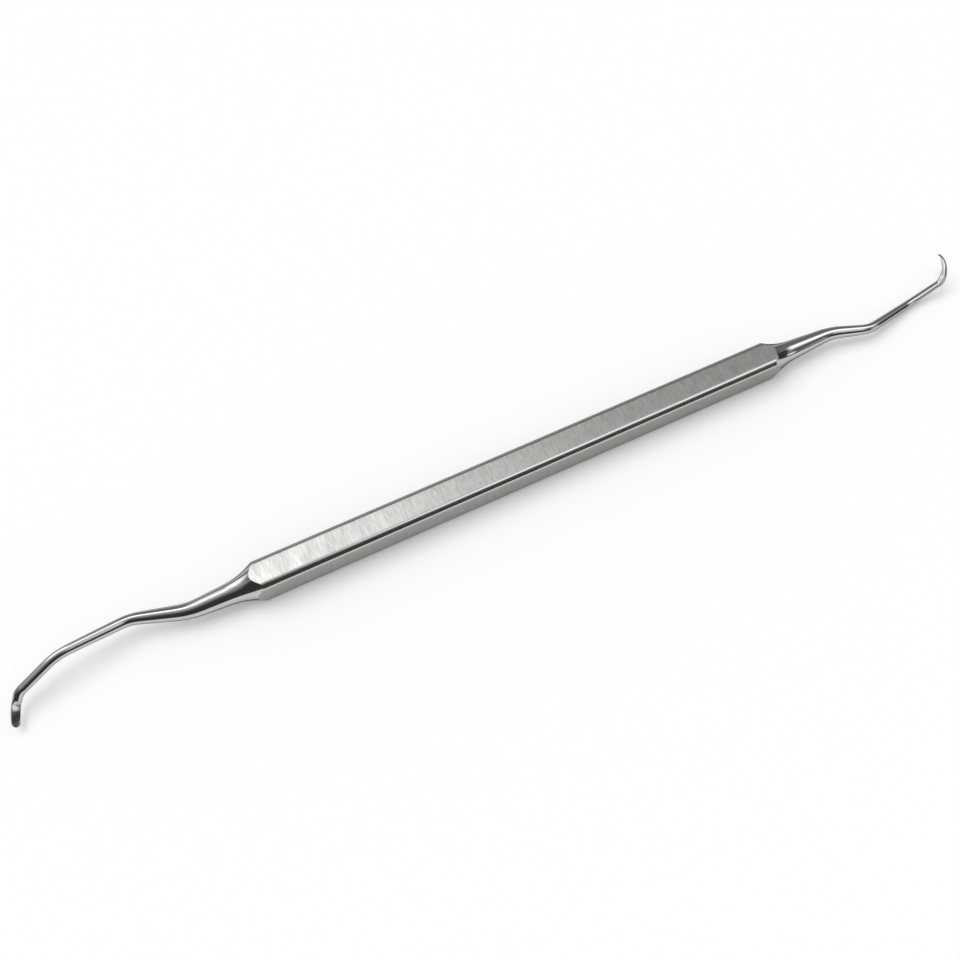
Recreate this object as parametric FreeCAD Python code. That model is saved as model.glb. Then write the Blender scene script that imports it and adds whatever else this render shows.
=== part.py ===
"""Double-ended dental scaler, forged and ground from one bar of stainless steel.

Frame, in millimetres: +X runs along the handle towards the far end, +Z is up.
The origin is the middle of the flat that the handle lies on.
"""
import FreeCAD
import Part
import math
import os

from FreeCAD import Rotation, Vector

# Handle: a square bar with broken corners
HANDLE_LENGTH = 91.0
ACROSS_FLATS = 5.2
CORNER_BREAK = 0.66
CORNER_ROUNDING = 0.6

# Shoulder: the bar is turned down from its corners to a round neck
SHOULDER_LENGTH = 5.2
NECK_DIAMETER = 3.3

# Straight lengths of the bent shank between its bends, from the end of the handle to the
# tip of the blade. The two ends are a mirrored pair bent by hand, so a few sizes differ.
NEAR_NECK_RUN = 9.15
FAR_NECK_RUN = 11.25
NEAR_CROSS_RUN = 5.25
FAR_CROSS_RUN = 3.65
LONG_RUN = 7.7
LOWER_RUN = 4.55
HEEL_RUN = 0.2
TOE_RUN = 0.5

# Heading of each run in degrees: swing is sideways from the handle, rise is out of its level
CROSS_SWING = -16.5
NEAR_LONG_SWING = 6.5
FAR_LONG_SWING = 11.1
NEAR_LOWER_SWING = 20.2
FAR_LOWER_SWING = 5.7
HEEL_SWING = 53.0
TOE_SWING = 78.0
CROSS_RISE = 4.0
LONG_RISE = 6.1
LOWER_RISE = -11.1
HEEL_RISE = -25.7
TOE_RISE = -5.8

# Radii of the centre line in the bends between the runs
NECK_BEND = 13.0
CROSS_BEND = 7.0
LONG_BEND = 10.0
HEEL_BEND = 2.2
BLADE_CURL = 6.5

# Diameters of the shank at the middle of its bends and at the heel of the blade
NEAR_NECK_BEND_DIAMETER = 2.55
FAR_NECK_BEND_DIAMETER = 2.15
NEAR_CROSS_BEND_DIAMETER = 1.74
FAR_CROSS_BEND_DIAMETER = 1.6
NEAR_LONG_BEND_DIAMETER = 1.47
FAR_LONG_BEND_DIAMETER = 1.27
NEAR_HEEL_DIAMETER = 1.45
FAR_HEEL_DIAMETER = 1.14

# Blade: a flat face on the inside of its curl, a half-round back and a rounded toe
HEEL_WIDTH = 1.5
HEEL_FACE_SHARE = 0.25
BLADE_WIDTH = 1.42
BLADE_THICKNESS = 0.72
FACE_CROWN = 0.03
TOE_ROUNDING_LENGTH = 0.7
BACK_TAPER_LENGTH = 2.6
TIP_WIDTH = 0.2
TIP_THICKNESS = 0.08

# Curves of the toe: 2 gives an ellipse, 1 a straight point
TOE_FULLNESS = 2.0
BACK_FULLNESS = 1.8

# Spacing of the sections that the loft of an end follows, and their number in the toe
SECTION_SPACING = 0.75
SECTIONS_AT_TOE = 5

# Pole distance with which a cubic curve follows a quarter of a circle of radius 1,
# and the knots of two such quarters in a row
QUARTER_ARC = 4.0 / 3.0 * (math.sqrt(2.0) - 1.0)
OVAL_DEGREE = 3
OVAL_KNOTS = [0.0, 0.5, 1.0]
OVAL_MULTIPLICITIES = [4, 3, 4]

# Faces that meet this closely are joined
JOIN_TOLERANCE = 0.002

FULL_TURN = 360.0
SIDES = 4
X_AXIS = Vector(1, 0, 0)
HALF_FLATS = ACROSS_FLATS / 2.0
HANDLE_END = HANDLE_LENGTH / 2.0
CORNER_RADIUS = math.hypot(HALF_FLATS, HALF_FLATS - CORNER_BREAK)

# Which way along X an end points. The far end is the near end mirrored through the middle.
NEAR = -1
FAR = 1


class Bend:
    """An arc of the centre line between two runs."""

    def __init__(self, before, after, radius):
        self.radius = radius
        self.axis = before.cross(after).normalize()
        self.angle = before.getAngle(after)
        self.length = radius * self.angle

    def turn(self, share):
        """Rotation of what has gone through this share of the bend."""
        return Rotation(self.axis, math.degrees(self.angle) * share)


class CentreLine:
    """Straight runs joined by arcs, with the direction across the blade carried along them."""

    def __init__(self, side, straights, headings, radii):
        self.start = Vector(side * HANDLE_END, 0, HALF_FLATS)
        self.directions = [self.direction(side, swing, rise) for swing, rise in headings]
        pairs = zip(self.directions, self.directions[1:], radii)
        self.bends = [Bend(before, after, radius) for before, after, radius in pairs]
        # The blade is square to the plane in which it curls
        across = self.bends[-1].axis
        self.across = [across]
        for bend in reversed(self.bends):
            across = bend.turn(1.0).inverted().multVec(across)
            self.across.insert(0, across)
        self.straights = straights
        self.length = sum(self.straights) + sum(bend.length for bend in self.bends)

    @staticmethod
    def direction(side, swing, rise):
        """Direction of a run with this heading, out from the handle."""
        level = math.cos(math.radians(rise))
        return Vector(level * math.cos(math.radians(swing)),
                      level * math.sin(math.radians(swing)),
                      -math.sin(math.radians(rise))) * side

    def bend_start(self, number):
        """Distance along the line at which this bend starts."""
        return sum(self.straights[:number + 1]) + sum(bend.length for bend in self.bends[:number])

    def bend_middle(self, number):
        return self.bend_start(number) + self.bends[number].length / 2.0

    def frame(self, distance):
        """Point, direction and across at a distance along the line."""
        point = self.start
        left = distance
        for i, straight in enumerate(self.straights):
            last = i == len(self.bends)
            if left <= straight or last:
                return point + self.directions[i] * left, self.directions[i], self.across[i]
            point = point + self.directions[i] * straight
            left -= straight
            bend = self.bends[i]
            inward = bend.axis.cross(self.directions[i])
            centre = point + inward * bend.radius
            turn = bend.turn(min(left / bend.length, 1.0))
            point = centre - turn.multVec(inward) * bend.radius
            if left <= bend.length:
                return point, turn.multVec(self.directions[i]), turn.multVec(self.across[i])
            left -= bend.length


def between(stations, distance):
    """Value at a distance, in a straight line from each station to the next."""
    for (start, first), (end, second) in zip(stations, stations[1:]):
        if distance <= end:
            return first + (second - first) * (distance - start) / (end - start)
    return stations[-1][1]


class End:
    """One bent shank with its blade."""

    def __init__(self, side, straights, headings, diameters):
        radii = [NECK_BEND, CROSS_BEND, LONG_BEND, HEEL_BEND, BLADE_CURL]
        self.side = side
        self.line = CentreLine(side, straights, headings, radii)
        neck, cross, long, heel = diameters
        line = self.line
        shank = [(SHOULDER_LENGTH, NECK_DIAMETER / 2.0),
                 (line.bend_middle(0), neck / 2.0),
                 (line.bend_middle(1), cross / 2.0),
                 (line.bend_middle(2), long / 2.0),
                 (line.bend_start(3), heel / 2.0)]
        heel_middle = line.bend_middle(3)
        blade_start = line.bend_start(4)
        back = BLADE_THICKNESS - FACE_CROWN
        self.half_widths = shank + [(heel_middle, HEEL_WIDTH / 2.0), (blade_start, BLADE_WIDTH / 2.0)]
        self.back_depths = shank + [(heel_middle, heel / 2.0), (blade_start, back)]
        self.face_depths = shank + [(heel_middle, heel * HEEL_FACE_SHARE), (blade_start, FACE_CROWN)]
        self.neck_slope = (shank[0][1] - shank[1][1]) / (shank[1][0] - shank[0][0])
        self.loft_start = (SHOULDER_LENGTH + line.bend_start(0)) / 2.0
        self.loft_start_radius = between(shank, self.loft_start)

    def section(self, distance):
        """Poles of the outline square to the centre line: those of its face side, then its back."""
        point, direction, across = self.line.frame(distance)
        to_face = across.cross(direction)
        half_width = between(self.half_widths, distance)
        back = between(self.back_depths, distance)
        face = between(self.face_depths, distance)
        to_tip = max(self.line.length - distance, 0.0)
        if to_tip < TOE_ROUNDING_LENGTH:
            fullness = rounded(1.0 - to_tip / TOE_ROUNDING_LENGTH, TOE_FULLNESS)
            half_width = TIP_WIDTH / 2.0 + (half_width - TIP_WIDTH / 2.0) * fullness
        if to_tip < BACK_TAPER_LENGTH:
            fullness = rounded(1.0 - to_tip / BACK_TAPER_LENGTH, BACK_FULLNESS)
            back = TIP_THICKNESS + (back - TIP_THICKNESS) * fullness
        return (half_oval(point, across * half_width, to_face * face),
                half_oval(point, across * -half_width, to_face * -back))

    def distances(self):
        """Where the sections stand: evenly spaced along the shank, then closer towards the tip."""
        toe_start = self.line.length - TOE_ROUNDING_LENGTH
        count = round((toe_start - self.loft_start) / SECTION_SPACING)
        step = (toe_start - self.loft_start) / count
        shank = [self.loft_start + step * k for k in range(count)]
        quarter = math.pi / 2.0
        toe = [toe_start + TOE_ROUNDING_LENGTH * math.sin(quarter * k / SECTIONS_AT_TOE)
               for k in range(SECTIONS_AT_TOE + 1)]
        return shank + toe

    def solid(self):
        distances = self.distances()
        sections = [self.section(distance) for distance in distances]
        sides = [skin(rows, distances) for rows in zip(*sections)]
        shell = Part.Shell(sides + [cap(sections[0]), cap(sections[-1])])
        shell.sewShape()
        return Part.Solid(shell)


def rounded(share, fullness):
    """Falls from 1 to 0 along a curve between a straight line and an ellipse."""
    return max(1.0 - share ** fullness, 0.0) ** (1.0 / fullness)


def half_oval(centre, across, depth):
    """Poles of half an oval, from one end of its width over its depth to the other end."""
    return [centre + across,
            centre + across + depth * QUARTER_ARC,
            centre + across * QUARTER_ARC + depth,
            centre + depth,
            centre - across * QUARTER_ARC + depth,
            centre - across + depth * QUARTER_ARC,
            centre - across]


def skin(rows, distances):
    """Face through the half ovals with these rows of poles, one row at each distance."""
    columns = []
    for points in zip(*rows):
        curve = Part.BSplineCurve()
        curve.interpolate(Points=list(points), Parameters=distances)
        columns.append(curve)
    along = columns[0]
    surface = Part.BSplineSurface()
    surface.buildFromPolesMultsKnots([curve.getPoles() for curve in columns],
                                     OVAL_MULTIPLICITIES, along.getMultiplicities(),
                                     OVAL_KNOTS, along.getKnots(),
                                     False, False, OVAL_DEGREE, along.Degree)
    return surface.toShape()


def cap(section):
    """Flat face that closes an end of the loft."""
    edges = []
    for poles in section:
        curve = Part.BSplineCurve()
        curve.buildFromPolesMultsKnots(poles, OVAL_MULTIPLICITIES, OVAL_KNOTS, False, OVAL_DEGREE)
        edges.append(curve.toShape())
    return Part.Face(Part.Wire(edges))


def bar_section():
    """Face of the bar's section in the plane X = 0, with the corners broken and rounded."""
    flat = HALF_FLATS - CORNER_BREAK
    corners = []
    for number in range(SIDES):
        turn = Rotation(X_AXIS, FULL_TURN / SIDES * number)
        corners.append(turn.multVec(Vector(0, HALF_FLATS, -flat)))
        corners.append(turn.multVec(Vector(0, HALF_FLATS, flat)))
    half_turn = math.pi / len(corners)
    setback = CORNER_ROUNDING * math.tan(half_turn)
    sagitta = CORNER_ROUNDING / math.cos(half_turn) - CORNER_ROUNDING
    centre = Vector(0, 0, HALF_FLATS)
    arcs = []
    for i, corner in enumerate(corners):
        before = (corners[i - 1] - corner).normalize()
        after = (corners[(i + 1) % len(corners)] - corner).normalize()
        inward = (before + after).normalize()
        arcs.append([centre + corner + before * setback,
                     centre + corner + inward * sagitta,
                     centre + corner + after * setback])
    edges = []
    for i, (start, middle, end) in enumerate(arcs):
        edges.append(Part.LineSegment(arcs[i - 1][2], start).toShape())
        edges.append(Part.Arc(start, middle, end).toShape())
    return Part.Face(Part.Wire(edges))


def shoulder_outline(end):
    """Edges of the turned outline at one end, from the axis over the neck to clear of the bar."""
    foot = Vector(SHOULDER_LENGTH, NECK_DIAMETER / 2.0, 0)
    corner = Vector(0, CORNER_RADIUS, 0)
    # The concave arc is tangent to the neck and passes the bar's corner at the handle's end
    outward = Vector(end.neck_slope, 1, 0).normalize()
    chord = corner - foot
    radius = chord.Length ** 2 / (2.0 * chord.dot(outward))
    centre = foot + outward * radius
    clear = CORNER_RADIUS + CORNER_ROUNDING
    rim = Vector(centre.x - math.sqrt(radius ** 2 - (centre.y - clear) ** 2), clear, 0)
    to_middle = ((foot - centre).normalize() + (rim - centre).normalize()).normalize()
    middle = centre + to_middle * radius
    neck = Vector(end.loft_start, end.loft_start_radius, 0)

    def placed(point):
        return Vector(end.side * (HANDLE_END + point.x), 0, HALF_FLATS + point.y)

    edges = [Part.LineSegment(placed(Vector(neck.x, 0, 0)), placed(neck)).toShape(),
             Part.LineSegment(placed(neck), placed(foot)).toShape(),
             Part.Arc(placed(foot), placed(middle), placed(rim)).toShape()]
    return edges, placed(Vector(neck.x, 0, 0)), placed(rim)


def turned_handle(near, far):
    """The bar, turned down at both ends as far as the lofts start."""
    near_edges, near_axis, near_rim = shoulder_outline(near)
    far_edges, far_axis, far_rim = shoulder_outline(far)
    closing = [Part.LineSegment(near_rim, far_rim).toShape(),
               Part.LineSegment(far_axis, near_axis).toShape()]
    outline = Part.Wire(Part.__sortEdges__(near_edges + far_edges + closing))
    envelope = Part.Face(outline).revolve(Vector(0, 0, HALF_FLATS), X_AXIS, FULL_TURN)
    bar = bar_section().extrude(X_AXIS * (far_axis.x - near_axis.x))
    bar.translate(Vector(near_axis.x, 0, 0))
    return bar.common(envelope)


def scaler():
    near = End(NEAR,
               [NEAR_NECK_RUN, NEAR_CROSS_RUN, LONG_RUN, LOWER_RUN, HEEL_RUN, TOE_RUN],
               [(0.0, 0.0), (CROSS_SWING, CROSS_RISE), (NEAR_LONG_SWING, LONG_RISE),
                (NEAR_LOWER_SWING, LOWER_RISE), (HEEL_SWING, HEEL_RISE), (TOE_SWING, TOE_RISE)],
               [NEAR_NECK_BEND_DIAMETER, NEAR_CROSS_BEND_DIAMETER,
                NEAR_LONG_BEND_DIAMETER, NEAR_HEEL_DIAMETER])
    far = End(FAR,
              [FAR_NECK_RUN, FAR_CROSS_RUN, LONG_RUN, LOWER_RUN, HEEL_RUN, TOE_RUN],
              [(0.0, 0.0), (CROSS_SWING, CROSS_RISE), (FAR_LONG_SWING, LONG_RISE),
               (FAR_LOWER_SWING, LOWER_RISE), (HEEL_SWING, HEEL_RISE), (TOE_SWING, TOE_RISE)],
              [FAR_NECK_BEND_DIAMETER, FAR_CROSS_BEND_DIAMETER,
               FAR_LONG_BEND_DIAMETER, FAR_HEEL_DIAMETER])
    handle = turned_handle(near, far)
    return handle.fuse([near.solid(), far.solid()], JOIN_TOLERANCE)


def main():
    os.makedirs("parts", exist_ok=True)
    shape = scaler()
    box = shape.optimalBoundingBox()
    print("solids", len(shape.Solids), "valid", shape.isValid(), "volume", round(shape.Volume, 2))
    print("box", [round(v, 3) for v in (box.XMin, box.YMin, box.ZMin, box.XMax, box.YMax, box.ZMax)])
    shape.exportStep("parts/scaler.step")


main()
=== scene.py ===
import math

import bmesh
import bpy
from mathutils import Matrix, Quaternion, Vector


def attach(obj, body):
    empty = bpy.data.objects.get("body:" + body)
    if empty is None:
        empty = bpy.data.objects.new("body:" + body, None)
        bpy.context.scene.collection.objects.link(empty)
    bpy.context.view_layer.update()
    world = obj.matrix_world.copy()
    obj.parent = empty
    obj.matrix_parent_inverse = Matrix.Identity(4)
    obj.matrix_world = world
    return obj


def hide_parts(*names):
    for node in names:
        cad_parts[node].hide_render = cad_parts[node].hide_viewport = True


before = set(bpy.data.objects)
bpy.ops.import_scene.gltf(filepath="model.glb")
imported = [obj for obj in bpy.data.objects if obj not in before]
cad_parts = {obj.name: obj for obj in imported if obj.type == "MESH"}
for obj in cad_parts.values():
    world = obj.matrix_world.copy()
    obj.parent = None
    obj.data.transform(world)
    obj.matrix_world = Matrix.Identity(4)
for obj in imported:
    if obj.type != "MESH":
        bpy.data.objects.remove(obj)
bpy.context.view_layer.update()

MM = 0.001

# Bar of the handle, in millimetres
HANDLE_END = 45.5
HALF_FLATS = 2.6
CORNER_BREAK = 0.66
CORNER_ROUNDING = 0.6
SHOULDER_LENGTH = 5.2
NECK_RADIUS = 1.65

# Bent shanks: straight lengths, their headings in degrees (swing, rise), the radii of the
# bends between them, and diameters at the middle of the first three bends and at the heel
NEAR = -1
FAR = 1
STRAIGHTS = {NEAR: [9.15, 5.25, 7.7, 4.55, 0.2, 0.5], FAR: [11.25, 3.65, 7.7, 4.55, 0.2, 0.5]}
HEADINGS = {
    NEAR: [(0, 0), (-16.5, 4.0), (6.5, 6.1), (20.2, -11.1), (53.0, -25.7), (78.0, -5.8)],
    FAR: [(0, 0), (-16.5, 4.0), (11.1, 6.1), (5.7, -11.1), (53.0, -25.7), (78.0, -5.8)],
}
BEND_RADII = [13.0, 7.0, 10.0, 2.2, 6.5]
DIAMETERS = {NEAR: [2.55, 1.74, 1.47, 1.45], FAR: [2.15, 1.6, 1.27, 1.14]}
NECK_BEND = 0
CROSS_BEND = 1
LONG_BEND = 2
HEEL_BEND = 3
BLADE_BEND = 4

# Blades. The ground face starts a little way into the blade, at a share of the heel's radius
# above its middle, and comes down to its small crown over a short ramp.
HEEL_WIDTH = 1.5
HEEL_FACE_SHARE = 0.42
BLADE_WIDTH = 1.42
BLADE_THICKNESS = 0.72
FACE_CROWN = 0.03
FACE_START = 0.3
FACE_START_SHARE = 0.6
FACE_RAMP = 0.5
TOE_ROUNDING_LENGTH = 0.7
BACK_TAPER_LENGTH = 2.6
TIP_WIDTH = 0.2
TIP_THICKNESS = 0.08
TOE_FULLNESS = 2.0
BACK_FULLNESS = 1.8

# Fineness of the mesh, in steps or in millimetres
ARC_STEPS = 4
FLAT_STEPS = 14
BREAK_STEPS = 4
ROW_SPACING = 0.25
BLADE_ROW_SPACING = 0.1
TOE_ROWS = 14
HANDLE_ROWS = 24
NECK_ROWS = 6
SHOULDER_ROWS = 28

# The handle's rows bend to the scalloped edge of the shoulder over this length, at these shares
SCALLOP_INSET = 1.5
SCALLOP_SHARES = (0.0, 0.5, 0.85)

# Length of shank over which its points turn to lie on the edges of the blade
TURN_LENGTH = 6.0

# Edges that bend by more degrees than this stay sharp
SHARP_ANGLE = 22

# A point this near a flat of the bar lies on it
FLAT_TOLERANCE = 0.001


class Bend:
    """An arc of the centre line between two straight lengths."""

    def __init__(self, before, after, radius):
        self.radius = radius
        self.axis = before.cross(after).normalized()
        self.angle = before.angle(after)
        self.length = radius * self.angle

    def turn(self, share):
        return Quaternion(self.axis, self.angle * share)


class CentreLine:
    """Straight lengths joined by arcs, with the direction across the blade carried along."""

    def __init__(self, side):
        self.start = Vector((side * HANDLE_END, 0, HALF_FLATS))
        self.straights = STRAIGHTS[side]
        self.directions = []
        for swing, rise in HEADINGS[side]:
            level = math.cos(math.radians(rise))
            self.directions.append(side * Vector((level * math.cos(math.radians(swing)),
                                                  level * math.sin(math.radians(swing)),
                                                  -math.sin(math.radians(rise)))))
        pairs = zip(self.directions, self.directions[1:], BEND_RADII)
        self.bends = [Bend(before, after, radius) for before, after, radius in pairs]
        across = self.bends[-1].axis.copy()
        self.across = [across]
        for bend in reversed(self.bends):
            across = bend.turn(1.0).inverted() @ across
            self.across.insert(0, across)
        self.length = sum(self.straights) + sum(bend.length for bend in self.bends)

    def bend_start(self, number):
        return sum(self.straights[:number + 1]) + sum(b.length for b in self.bends[:number])

    def bend_middle(self, number):
        return self.bend_start(number) + self.bends[number].length / 2

    def frame(self, distance):
        """Point, direction and across at a distance along the line."""
        point = self.start.copy()
        left = distance
        for i, straight in enumerate(self.straights):
            if left <= straight or i == len(self.bends):
                return point + self.directions[i] * left, self.directions[i], self.across[i]
            point = point + self.directions[i] * straight
            left -= straight
            bend = self.bends[i]
            inward = bend.axis.cross(self.directions[i])
            centre = point + inward * bend.radius
            turn = bend.turn(min(left / bend.length, 1.0))
            point = centre - (turn @ inward) * bend.radius
            if left <= bend.length:
                return point, turn @ self.directions[i], turn @ self.across[i]
            left -= bend.length


def between(stations, distance):
    """Value at a distance, in a straight line between the stations before and after it."""
    for (start, first), (end, second) in zip(stations, stations[1:]):
        if distance <= end:
            return first + (second - first) * (distance - start) / (end - start)
    return stations[-1][1]


def rounded(share, fullness):
    """From 1 down to 0 along a quarter of an oval: a fullness of 2 gives an ellipse."""
    return max(1.0 - share ** fullness, 0.0) ** (1.0 / fullness)


def bar_outline():
    """Points round the bar's section, in order of their angle."""
    flat = HALF_FLATS - CORNER_BREAK
    corners = []
    for quarter in range(4):
        turn = Matrix.Rotation(math.pi / 2 * quarter, 2)
        corners.append(turn @ Vector((HALF_FLATS, -flat)))
        corners.append(turn @ Vector((HALF_FLATS, flat)))
    half_turn = math.pi / len(corners)
    setback = CORNER_ROUNDING * math.tan(half_turn)
    points = []
    for i, corner in enumerate(corners):
        before = (corners[i - 1] - corner).normalized()
        after = (corners[(i + 1) % len(corners)] - corner).normalized()
        centre = corner + (before + after).normalized() * CORNER_ROUNDING / math.cos(half_turn)
        start = corner + before * setback - centre
        for k in range(ARC_STEPS + 1):
            points.append(centre + Matrix.Rotation(2 * half_turn * k / ARC_STEPS, 2) @ start)
        end = corner + after * setback
        following = corners[(i + 1) % len(corners)]
        goal = following - after * setback
        steps = FLAT_STEPS if (following - corner).length > 2 * CORNER_BREAK else BREAK_STEPS
        points += [end.lerp(goal, k / steps) for k in range(1, steps)]
    points.sort(key=lambda p: math.atan2(p.y, p.x))
    return points


class End:
    """Rows of points of one end, from the handle out to the tip."""

    def __init__(self, side, outline):
        self.side = side
        self.outline = outline
        self.angles = [math.atan2(p.y, p.x) for p in outline]
        self.line = CentreLine(side)
        neck, cross, long, heel = [diameter / 2 for diameter in DIAMETERS[side]]
        line = self.line
        shank = [(SHOULDER_LENGTH, NECK_RADIUS), (line.bend_middle(NECK_BEND), neck),
                 (line.bend_middle(CROSS_BEND), cross), (line.bend_middle(LONG_BEND), long),
                 (line.bend_start(HEEL_BEND), heel)]
        middle = line.bend_middle(HEEL_BEND)
        blade = line.bend_start(BLADE_BEND)
        back = BLADE_THICKNESS - FACE_CROWN
        self.half_widths = shank + [(middle, HEEL_WIDTH / 2), (blade, BLADE_WIDTH / 2)]
        self.back_depths = shank + [(middle, heel), (blade, back)]
        ground = blade + FACE_START
        self.face_depths = shank + [(middle, 2 * heel * HEEL_FACE_SHARE),
                                    (ground, FACE_START_SHARE * heel),
                                    (ground + FACE_RAMP, FACE_CROWN)]
        self.slope = (shank[0][1] - shank[1][1]) / (shank[1][0] - shank[0][0])
        self.loft_start = (SHOULDER_LENGTH + line.bend_start(0)) / 2
        # Angle of the blade's width, carried back to the neck, and the turn to the nearest point
        self.across_angle = math.atan2(line.across[0].z, line.across[0].y)
        turns = [math.remainder(angle - self.across_angle, math.tau) for angle in self.angles]
        self.turn_to_point = min(turns, key=abs)
        # Concave arc of the shoulder, tangent to the neck and through the bar's corner
        foot = Vector((SHOULDER_LENGTH, NECK_RADIUS))
        corner = Vector((0, math.hypot(HALF_FLATS, HALF_FLATS - CORNER_BREAK)))
        outward = Vector((self.slope, 1)).normalized()
        chord = corner - foot
        self.arc_radius = chord.length_squared / (2 * chord.dot(outward))
        self.arc_centre = foot + outward * self.arc_radius

    def turned_radius(self, out):
        if out >= SHOULDER_LENGTH:
            return NECK_RADIUS - self.slope * (out - SHOULDER_LENGTH)
        run = out - self.arc_centre.x
        return self.arc_centre.y - math.sqrt(self.arc_radius ** 2 - run ** 2)

    def meeting(self, radius):
        """How far out the turned shoulder comes down to this radius."""
        drop = self.arc_centre.y - radius
        return self.arc_centre.x - math.sqrt(self.arc_radius ** 2 - drop ** 2)

    def handle_row(self, share):
        """Between a straight row inside the handle and the scalloped edge of the shoulder."""
        row = []
        for p in self.outline:
            out = -SCALLOP_INSET + (self.meeting(p.length) + SCALLOP_INSET) * share
            row.append(Vector((self.side * (HANDLE_END + out), p.x, HALF_FLATS + p.y)))
        return row

    def turned_point(self, p, out):
        """Point of the turned surface this far out, at the angle of a point of the bar's section."""
        q = p.normalized() * self.turned_radius(out)
        return Vector((self.side * (HANDLE_END + out), q.x, HALF_FLATS + q.y))

    def shoulder_row(self, share):
        """Between the scalloped edge of the shoulder and the neck."""
        row = []
        for p in self.outline:
            start = self.meeting(p.length)
            row.append(self.turned_point(p, start + (SHOULDER_LENGTH - start) * share))
        return row

    def neck_row(self, out):
        return [self.turned_point(p, out) for p in self.outline]

    def shank_row(self, distance):
        point, direction, across = self.line.frame(distance)
        to_face = across.cross(direction)
        share = min((distance - self.loft_start) / TURN_LENGTH, 1.0)
        share = share * share * (3 - 2 * share)
        zero = self.across_angle + self.turn_to_point * share
        half_width = between(self.half_widths, distance)
        back = between(self.back_depths, distance)
        face = between(self.face_depths, distance)
        to_tip = max(self.line.length - distance, 0.0)
        if to_tip < TOE_ROUNDING_LENGTH:
            fullness = rounded(1.0 - to_tip / TOE_ROUNDING_LENGTH, TOE_FULLNESS)
            half_width = TIP_WIDTH / 2 + (half_width - TIP_WIDTH / 2) * fullness
        if to_tip < BACK_TAPER_LENGTH:
            fullness = rounded(1.0 - to_tip / BACK_TAPER_LENGTH, BACK_FULLNESS)
            back = TIP_THICKNESS + (back - TIP_THICKNESS) * fullness
        row = []
        for angle in self.angles:
            turn = -self.side * (angle - zero)
            height = math.sin(turn)
            depth = face if height > 0 else back
            row.append(point + across * half_width * math.cos(turn) + to_face * depth * height)
        return row

    def rows(self):
        """Rows with the zone of the faces that follow each."""
        rows = [(self.handle_row(share), "bar") for share in SCALLOP_SHARES]
        rows.append((self.handle_row(1.0), "shoulder"))
        rows += [(self.shoulder_row(k / SHOULDER_ROWS), "shoulder")
                 for k in range(1, SHOULDER_ROWS + 1)]
        gap = self.loft_start - SHOULDER_LENGTH
        rows += [(self.neck_row(SHOULDER_LENGTH + gap * k / NECK_ROWS), "shank")
                 for k in range(1, NECK_ROWS)]
        toe_start = self.line.length - TOE_ROUNDING_LENGTH
        heel = self.line.bend_start(HEEL_BEND)
        for start, stop, spacing, zone in ((self.loft_start, heel, ROW_SPACING, "shank"),
                                           (heel, toe_start, BLADE_ROW_SPACING, "blade")):
            count = round((stop - start) / spacing)
            rows += [(self.shank_row(start + (stop - start) * k / count), zone)
                     for k in range(count)]
        for k in range(TOE_ROWS + 1):
            share = math.sin(math.pi / 2 * k / TOE_ROWS)
            rows.append((self.shank_row(toe_start + TOE_ROUNDING_LENGTH * share), "blade"))
        return rows


def scaler_mesh():
    """The whole instrument as one mesh, with the zone of each face."""
    outline = bar_outline()
    count = len(outline)
    near = End(NEAR, outline).rows()
    far = End(FAR, outline).rows()
    first = near[0][0]
    last = far[0][0]
    middle = [([a.lerp(b, k / HANDLE_ROWS) for a, b in zip(first, last)], "bar")
              for k in range(1, HANDLE_ROWS)]
    # A zone belongs to the faces outside a row, so it moves by one where the order is reversed
    near_points = [row for row, zone in reversed(near)]
    near_zones = [zone for row, zone in reversed(near)][1:] + ["bar"]
    rows = near_points + [row for row, zone in middle] + [row for row, zone in far]
    zones = near_zones + ["bar"] * len(middle) + [zone for row, zone in far]
    vertices = [point * MM for row in rows for point in row]
    faces = []
    kinds = []
    for r in range(len(rows) - 1):
        for j in range(count):
            k = (j + 1) % count
            faces.append((r * count + j, r * count + k, (r + 1) * count + k, (r + 1) * count + j))
            zone = zones[r]
            if zone == "bar":
                centre = (outline[j] + outline[k]) / 2
                if abs(centre.y) > HALF_FLATS - FLAT_TOLERANCE:
                    zone = "flat"
                elif abs(centre.x) > HALF_FLATS - FLAT_TOLERANCE:
                    zone = "side"
                else:
                    zone = "break"
            kinds.append(zone)
    for r in (0, len(rows) - 1):
        tip = len(vertices)
        vertices.append(sum(rows[r], Vector()) / count * MM)
        for j in range(count):
            faces.append((r * count + j, r * count + (j + 1) % count, tip))
            kinds.append("blade")
    mesh = bpy.data.meshes.new("scaler_steel")
    mesh.from_pydata(vertices, [], faces)
    return mesh, kinds


def clean_normals(mesh):
    work = bmesh.new()
    work.from_mesh(mesh)
    bmesh.ops.recalc_face_normals(work, faces=work.faces)
    work.to_mesh(mesh)
    work.free()


# Finish of the steel. Noise is in cycles per metre along and across the handle.

STEEL = (0.54, 0.54, 0.537)
# A low edge tint darkens the polished steel where it is seen edge on: painted shade along the rims
# of the shanks and edges.
POLISHED_EDGE_TINT = 0.1
BRUSHED_ANISOTROPY = 0.7
QUARTER_TURN = 0.25
STREAK_SCALE = (3600, 600, 600)
STREAK_DETAIL = 4.0
STREAK_DISTORTION = 0.9
STREAK_SPREAD = (0.38, 0.62)
STREAK_DEPTH = 0.00001
PATCH_SPREAD = (0.3, 0.7)
BRUSHED_PATCH_SCALE = (500, 250, 250)
BRUSHED_PATCH_DETAIL = 2.0
BRUSHED_ROUGHNESS = (0.29, 0.35)
POLISHED_PATCH_SCALE = (900, 900, 900)
POLISHED_PATCH_DETAIL = 3.0
POLISHED_VARIATION = (0.92, 1.1)

# Slot of each zone's material
SLOTS = {"flat": 0, "side": 1, "break": 2, "shoulder": 3, "shank": 3, "blade": 4}


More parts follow.
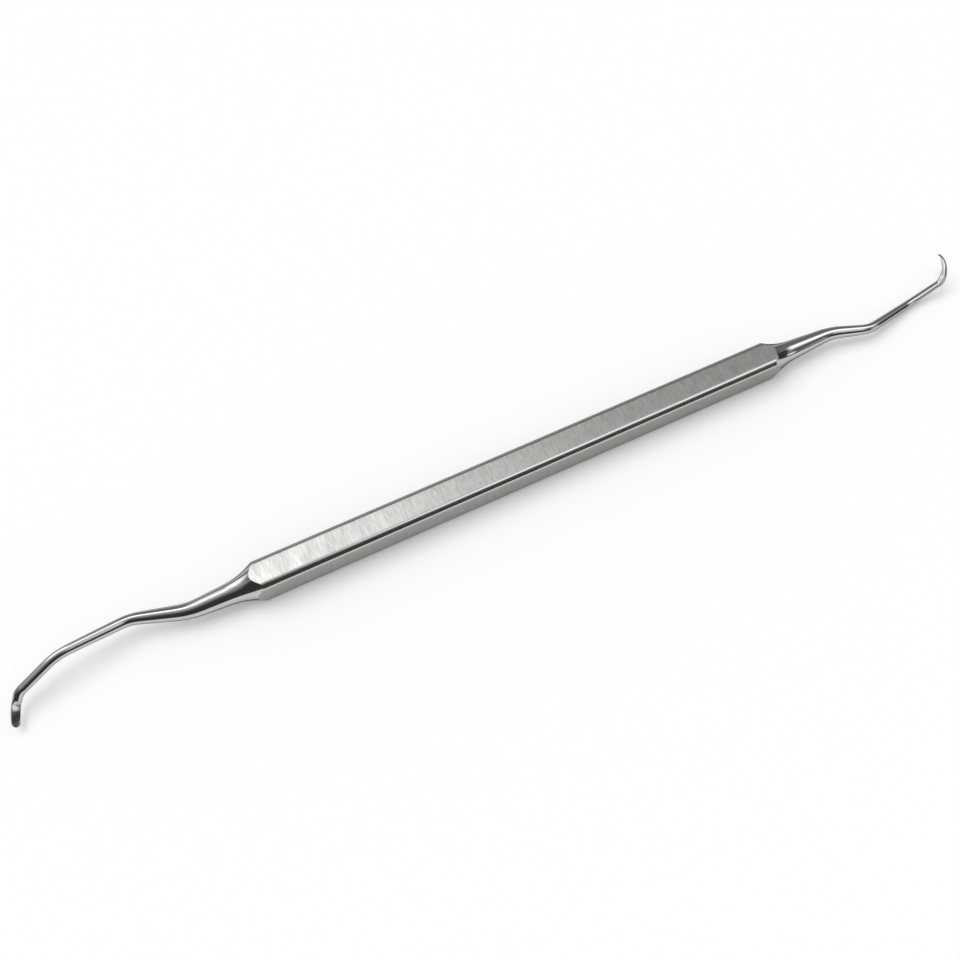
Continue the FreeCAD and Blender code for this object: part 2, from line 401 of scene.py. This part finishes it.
def new_material(name):
    material = bpy.data.materials.new(name)
    material.use_nodes = True
    nodes = material.node_tree.nodes
    return material, nodes, material.node_tree.links, nodes["Principled BSDF"]


def metal(name, edge_tint, anisotropic=0.0):
    """Steel. The edge tint is the share of light that it keeps where it is seen almost edge on; a
    low tint paints shade along the rims.
    """
    material, nodes, links, shader = new_material(name)
    shader.inputs["Base Color"].default_value = (*STEEL, 1.0)
    shader.inputs["Metallic"].default_value = 1.0
    shader.inputs["Specular Tint"].default_value = (edge_tint, edge_tint, edge_tint, 1.0)
    shader.inputs["Anisotropic"].default_value = anisotropic
    return material, nodes, links, shader


def marks(nodes, links, scale, detail, distortion=0.0):
    """Noise stretched by this scale of the object's own coordinates."""
    place = nodes.new("ShaderNodeTexCoord")
    mapping = nodes.new("ShaderNodeMapping")
    mapping.inputs["Scale"].default_value = scale
    noise = nodes.new("ShaderNodeTexNoise")
    noise.inputs["Scale"].default_value = 1.0
    noise.inputs["Detail"].default_value = detail
    noise.inputs["Distortion"].default_value = distortion
    links.new(place.outputs["Object"], mapping.inputs["Vector"])
    links.new(mapping.outputs["Vector"], noise.inputs["Vector"])
    return noise.outputs["Fac"]


def spread(nodes, links, source, old_range, new_range):
    ramp = nodes.new("ShaderNodeMapRange")
    ramp.inputs["From Min"].default_value = old_range[0]
    ramp.inputs["From Max"].default_value = old_range[1]
    ramp.inputs["To Min"].default_value = new_range[0]
    ramp.inputs["To Max"].default_value = new_range[1]
    links.new(source, ramp.inputs["Value"])
    return ramp.outputs["Result"]


def brushed_steel(name, contrast, edge_tint):
    """Steel brushed across the handle: reflections blur along it, under fine uneven streaks."""
    material, nodes, links, shader = metal(name, edge_tint, BRUSHED_ANISOTROPY)
    tangent = nodes.new("ShaderNodeTangent")
    tangent.direction_type = "RADIAL"
    tangent.axis = "X"
    links.new(tangent.outputs["Tangent"], shader.inputs["Tangent"])
    shader.inputs["Anisotropic Rotation"].default_value = QUARTER_TURN
    patches = marks(nodes, links, BRUSHED_PATCH_SCALE, BRUSHED_PATCH_DETAIL)
    links.new(spread(nodes, links, patches, PATCH_SPREAD, BRUSHED_ROUGHNESS),
              shader.inputs["Roughness"])
    streaks = marks(nodes, links, STREAK_SCALE, STREAK_DETAIL, STREAK_DISTORTION)
    shade = nodes.new("ShaderNodeMix")
    shade.data_type = "RGBA"
    shade.inputs["A"].default_value = (*[value * (1 - contrast) for value in STEEL], 1.0)
    shade.inputs["B"].default_value = (*[value * (1 + contrast) for value in STEEL], 1.0)
    links.new(spread(nodes, links, streaks, STREAK_SPREAD, (0.0, 1.0)), shade.inputs["Factor"])
    links.new(shade.outputs["Result"], shader.inputs["Base Color"])
    bump = nodes.new("ShaderNodeBump")
    bump.inputs["Distance"].default_value = STREAK_DEPTH
    links.new(streaks, bump.inputs["Height"])
    links.new(bump.outputs["Normal"], shader.inputs["Normal"])
    return material


def polished_steel(name, roughness):
    material, nodes, links, shader = metal(name, POLISHED_EDGE_TINT)
    patches = marks(nodes, links, POLISHED_PATCH_SCALE, POLISHED_PATCH_DETAIL)
    limits = [roughness * share for share in POLISHED_VARIATION]
    links.new(spread(nodes, links, patches, PATCH_SPREAD, limits), shader.inputs["Roughness"])
    return material


def dressed_scaler():
    mesh, kinds = scaler_mesh()
    clean_normals(mesh)
    mesh.shade_smooth()
    mesh.set_sharp_from_angle(angle=math.radians(SHARP_ANGLE))
    # The side flats keep a tenth of the light edge on where the top flat keeps nine tenths: painted
    # shade that darkens the sides of the bar.
    for material in (brushed_steel("steel_brushed", contrast=0.11, edge_tint=0.9),
                     brushed_steel("steel_side", contrast=0.04, edge_tint=0.1),
                     polished_steel("steel_edges", roughness=0.2),
                     polished_steel("steel_polished", roughness=0.12),
                     polished_steel("steel_blade", roughness=0.15)):
        mesh.materials.append(material)
    mesh.polygons.foreach_set("material_index", [SLOTS[kind] for kind in kinds])
    scaler = bpy.data.objects.new("scaler_steel", mesh)
    bpy.context.collection.objects.link(scaler)
    return scaler


scaler = dressed_scaler()
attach(scaler, "root")
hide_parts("scaler")


# Camera at the photograph's viewing angle, fitted to the outlines of the handle and shanks

CAMERA_PLACE = Vector((-47.24, -75.78, 154.73)) * MM
CAMERA_FORWARD = Vector((0.22436, 0.43837, -0.87034))
CAMERA_RIGHT = Vector((0.89418, -0.44768, 0.00502))
SENSOR_WIDTH = 36.0
FOCAL_LENGTH = 41.4
CLIP_START = 0.01
CLIP_END = 20.0


def photograph_camera():
    data = bpy.data.cameras.new("camera")
    data.sensor_width = SENSOR_WIDTH
    data.lens = FOCAL_LENGTH
    data.clip_start = CLIP_START
    data.clip_end = CLIP_END
    camera = bpy.data.objects.new("camera", data)
    bpy.context.collection.objects.link(camera)
    forward = CAMERA_FORWARD.normalized()
    right = (CAMERA_RIGHT - forward * CAMERA_RIGHT.dot(forward)).normalized()
    up = right.cross(forward)
    camera.matrix_world = Matrix.Translation(CAMERA_PLACE) @ \
        Matrix((right, up, -forward)).transposed().to_4x4()
    return camera


bpy.context.scene.camera = photograph_camera()


# Floor, lamp, cards and sheets of light. Sizes are in metres, and directions are as in toward().

FLOOR_REACH = 3.0
FLOOR_COLOUR = 0.95
FLOOR_ROUGHNESS = 0.9
FLOOR_SPECULAR = 0.1
FLOOR_WHITE = 0.1
FLOOR_LAMP = 1.3
FLOOR_LAMP_ANGLE = 50
FLOOR_LAMP_FROM = (-20, 110)
WORLD_LIGHT = 0.58
DOME_RADIUS = 0.95
CARD_STEPS = 12
SHEET_DISTANCE = 0.8
SHEET_SOFTNESS = 0.8

# Cards glow at their radiance though they are no lamps: they paint the dark and dim surroundings
# that the steel reflects.
# Each card's name, radiance, and reach sideways and in angle
CARDS = [
    ("card_front", 0.05, (-66, 80), (1, 90)),
    ("card_back", 0.23, (-66, 70), (90, 179)),
    ("card_right", 0.12, (70, 80), (90, 179)),
]

# Each sheet's name, direction, width, height, turn in degrees, radiance, and softness where
# it isn't the usual one
SHEETS = [
    ("key", (-22, 136), 0.61, 0.92, 10, 1.75),
    ("key_edge", (-3, 116), 0.4, 0.24, -6, 2.9),
    ("middle", (6, 101), 0.92, 0.7, -20, 0.6),
    ("side", (18, 66), 0.74, 1.1, 10, 1.5),
    ("right", (41, 89), 0.52, 0.6, 0, 2.0),
    ("far_right", (50, 55), 0.3, 0.5, 30, 0.3),
    ("left", (-23, 93), 1.1, 0.77, -71, 0.28),
    ("low", (50, 22), 0.3, 0.19, 0, 1.6, 0.6),
]


def toward(sideways, angle):
    """Direction this far to the side, and at this angle from the front horizon over the top."""
    side = math.radians(sideways)
    level = math.cos(side)
    return Vector((math.sin(side), -level * math.cos(math.radians(angle)),
                   level * math.sin(math.radians(angle))))


def stage_object(name, mesh, material):
    thing = bpy.data.objects.new(name, mesh)
    bpy.context.collection.objects.link(thing)
    mesh.materials.append(material)
    return thing


def rectangle(name, width, height):
    corners = [(-0.5, -0.5), (0.5, -0.5), (0.5, 0.5), (-0.5, 0.5)]
    mesh = bpy.data.meshes.new(name)
    mesh.from_pydata([(x * width, y * height, 0) for x, y in corners], [], [(0, 1, 2, 3)])
    return mesh


def only_reflected(thing):
    """Seen in the steel alone: it neither lights nor shades the floor."""
    thing.visible_camera = False
    thing.visible_diffuse = False
    thing.visible_shadow = False
    thing.active_material.cycles.emission_sampling = "NONE"


def seen_rays(nodes, links):
    """1 for rays from the camera and for those that steel reflects, 0 for those that only light."""
    path = nodes.new("ShaderNodeLightPath")
    total = path.outputs["Is Camera Ray"]
    for name in ("Is Glossy Ray", "Is Transmission Ray"):
        larger = nodes.new("ShaderNodeMath")
        larger.operation = "MAXIMUM"
        links.new(total, larger.inputs[0])
        links.new(path.outputs[name], larger.inputs[1])
        total = larger.outputs[0]
    return total


def floor():
    """Pale floor that keeps the shadow. A little white of its own brings it up to the backdrop."""
    material, nodes, links, shader = new_material("floor_white")
    shader.inputs["Base Color"].default_value = (FLOOR_COLOUR, FLOOR_COLOUR, FLOOR_COLOUR, 1.0)
    shader.inputs["Roughness"].default_value = FLOOR_ROUGHNESS
    shader.inputs["Specular IOR Level"].default_value = FLOOR_SPECULAR
    shader.inputs["Emission Color"].default_value = (1.0, 1.0, 1.0, 1.0)
    links.new(spread(nodes, links, seen_rays(nodes, links), (0.0, 1.0), (0.0, FLOOR_WHITE)),
              shader.inputs["Emission Strength"])
    stage_object("floor", rectangle("floor", 2 * FLOOR_REACH, 2 * FLOOR_REACH), material)


def floor_lamp():
    """Soft even light that casts the object's shadow on the floor and isn't seen in the steel."""
    lamp = bpy.data.lights.new("floor_lamp", "SUN")
    lamp.angle = math.radians(FLOOR_LAMP_ANGLE)
    lamp.energy = FLOOR_LAMP
    thing = bpy.data.objects.new("floor_lamp", lamp)
    bpy.context.collection.objects.link(thing)
    thing.rotation_euler = toward(*FLOOR_LAMP_FROM).to_track_quat("Z", "Y").to_euler()
    thing.visible_glossy = False


def card(name, radiance, sides, angles):
    """Part of a dome that glows evenly at its radiance behind the sheets of light, though it is no
    lamp: painted dark and dim surroundings for the steel to reflect.
    """
    vertices = []
    for k in range(CARD_STEPS + 1):
        for m in range(CARD_STEPS + 1):
            sideways = sides[0] + (sides[1] - sides[0]) * k / CARD_STEPS
            angle = angles[0] + (angles[1] - angles[0]) * m / CARD_STEPS
            vertices.append(toward(sideways, angle) * DOME_RADIUS)
    row = CARD_STEPS + 1
    faces = []
    for k in range(CARD_STEPS):
        for m in range(CARD_STEPS):
            corner = k * row + m
            faces.append((corner, corner + 1, corner + row + 1, corner + row))
    mesh = bpy.data.meshes.new(name)
    mesh.from_pydata(vertices, [], faces)
    material, nodes, links, shader = new_material(name)
    shader.inputs["Base Color"].default_value = (0.0, 0.0, 0.0, 1.0)
    shader.inputs["Specular IOR Level"].default_value = 0.0
    shader.inputs["Emission Color"].default_value = (1.0, 1.0, 1.0, 1.0)
    shader.inputs["Emission Strength"].default_value = radiance
    only_reflected(stage_object(name, mesh, material))


def fading_light(name, width, height, radiance, softness):
    """Clear material that shines, and fades toward the edges over a share of the half width."""
    material = bpy.data.materials.new(name)
    material.use_nodes = True
    nodes = material.node_tree.nodes
    links = material.node_tree.links
    nodes.clear()
    place = nodes.new("ShaderNodeTexCoord")
    split = nodes.new("ShaderNodeSeparateXYZ")
    links.new(place.outputs["Object"], split.inputs["Vector"])
    strength = nodes.new("ShaderNodeMath")
    strength.operation = "MULTIPLY"
    axes = (("X", width / 2, radiance), ("Y", height / 2, 1.0))
    for factor, (axis, half, brightest) in zip(strength.inputs, axes):
        from_middle = nodes.new("ShaderNodeMath")
        from_middle.operation = "ABSOLUTE"
        links.new(split.outputs[axis], from_middle.inputs[0])
        fade = nodes.new("ShaderNodeMapRange")
        fade.interpolation_type = "SMOOTHSTEP"
        fade.inputs["From Min"].default_value = half
        fade.inputs["From Max"].default_value = half * (1 - softness)
        fade.inputs["To Max"].default_value = brightest
        links.new(from_middle.outputs[0], fade.inputs["Value"])
        links.new(fade.outputs["Result"], factor)
    glow = nodes.new("ShaderNodeEmission")
    links.new(strength.outputs[0], glow.inputs["Strength"])
    clear = nodes.new("ShaderNodeBsdfTransparent")
    both = nodes.new("ShaderNodeAddShader")
    links.new(clear.outputs["BSDF"], both.inputs[0])
    links.new(glow.outputs["Emission"], both.inputs[1])
    output = nodes.new("ShaderNodeOutputMaterial")
    links.new(both.outputs["Shader"], output.inputs["Surface"])
    return material


def sheet(name, direction, width, height, turn, radiance, softness=SHEET_SOFTNESS):
    """Sheet of light that faces the object."""
    material = fading_light(name, width, height, radiance, softness)
    sideways, angle = direction
    out = toward(sideways, angle)
    along_side = toward(sideways + 90, angle)
    along_angle = toward(0, angle + 90)
    cosine = math.cos(math.radians(turn))
    sine = math.sin(math.radians(turn))
    across = along_side * cosine + along_angle * sine
    up = along_angle * cosine - along_side * sine
    thing = stage_object(name, rectangle(name, width, height), material)
    thing.matrix_world = Matrix.Translation(out * SHEET_DISTANCE) @ \
        Matrix((-across, up, -out)).transposed().to_4x4()
    only_reflected(thing)


def studio_world():
    """White where it is seen, and a softer light on the floor."""
    world = bpy.data.worlds.new("studio")
    world.use_nodes = True
    nodes = world.node_tree.nodes
    links = world.node_tree.links
    tone = nodes.new("ShaderNodeMix")
    tone.data_type = "RGBA"
    tone.inputs["A"].default_value = (WORLD_LIGHT, WORLD_LIGHT, WORLD_LIGHT, 1.0)
    tone.inputs["B"].default_value = (1.0, 1.0, 1.0, 1.0)
    links.new(seen_rays(nodes, links), tone.inputs["Factor"])
    links.new(tone.outputs["Result"], nodes["Background"].inputs["Color"])
    return world


floor()
floor_lamp()
for values in CARDS:
    card(*values)
for values in SHEETS:
    sheet(*values)
bpy.context.scene.world = studio_world()
bpy.context.scene.view_settings.view_transform = "Standard"
